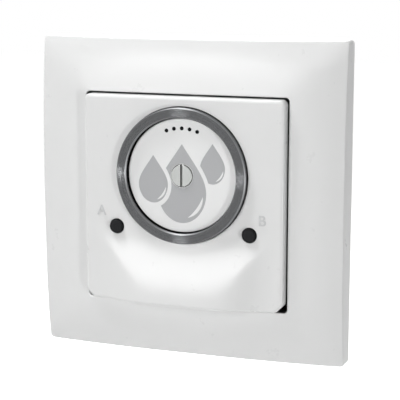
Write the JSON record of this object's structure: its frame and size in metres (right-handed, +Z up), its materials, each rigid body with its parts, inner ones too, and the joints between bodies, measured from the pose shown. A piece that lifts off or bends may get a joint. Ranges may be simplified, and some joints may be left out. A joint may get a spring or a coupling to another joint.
{
  "type": "leak detection controller",
  "caption": "Flush wall-mounted leak detection controller: pillow-shaped cover frame, centre plate with a lip, ringed disc with drop symbols, push buttons and a round rear housing.",
  "frame": {"origin": "centre of the wall box screw pattern, on the wall face of the support plate", "axes": "+Z up the wall, +X to the right seen from the room, -Y out of the wall towards the room"},
  "size_m": [0.084, 0.0389, 0.084],
  "materials": {
    "cover_frame": "satin moulded, white",
    "centre_plate": "satin moulded, white",
    "trim_ring": "turned, semi-bright",
    "face_disc": "satin moulded, light grey",
    "drop_symbols": "smooth, mid grey",
    "centre_screw": "nickel-plated",
    "button": "smooth, black",
    "switch": "moulded, black",
    "switch_stem": "moulded, tan",
    "chassis": "moulded, light grey",
    "board": "solder mask over glass-fibre laminate, green",
    "small_screws": "zinc-plated",
    "sounder": "moulded, black",
    "chip": "moulded, black",
    "link": "moulded, black",
    "support_plate": "galvanised sheet",
    "rear_housing": "moulded, light grey",
    "relay": "moulded, blue",
    "transformer_core": "laminated iron",
    "transformer_winding": "yellow tape over copper wire",
    "capacitor": "sleeved can, black",
    "varistor": "epoxy-coated, blue",
    "fuse": "ceramic body with metal caps",
    "terminal_block": "moulded, grey-green",
    "terminal_clamps": "plain brass"
  },
  "bodies": {
    "controller": {"cover_frame": "cover_frame", "centre_plate": "centre_plate", "trim_ring": "trim_ring", "face_disc": "face_disc", "drop_symbols": "drop_symbols", "centre_screw": "centre_screw", "switch_a": "switch", "switch_b": "switch", "chassis": "chassis", "front_board": "board", "main_board": "board", "board_screws": "small_screws", "housing_screws": "small_screws", "terminal_screws": "small_screws", "sounder": "sounder", "control_chip": "chip", "link_header": "link", "link_socket": "link", "support_plate": "support_plate", "rear_housing": "rear_housing", "relay": "relay", "transformer_core": "transformer_core", "transformer_winding": "transformer_winding", "capacitor": "capacitor", "varistor": "varistor", "fuse": "fuse", "terminal_block": "terminal_block", "terminal_clamps": "terminal_clamps"},
    "push_button_a": {"button_a": "button", "switch_stem_a": "switch_stem"},
    "push_button_b": {"button_b": "button", "switch_stem_b": "switch_stem"}
  },
  "joints": [
    {"name": "press_a", "type": "slide", "parent": "controller", "child": "push_button_a", "axis": [0, 1, 0], "range_m": [0, 0.0005], "stiffness_N_per_m": 2000, "springref_m": -0.0005},
    {"name": "press_b", "type": "slide", "parent": "controller", "child": "push_button_b", "axis": [0, 1, 0], "range_m": [0, 0.0005], "stiffness_N_per_m": 2000, "springref_m": -0.0005}
  ]
}
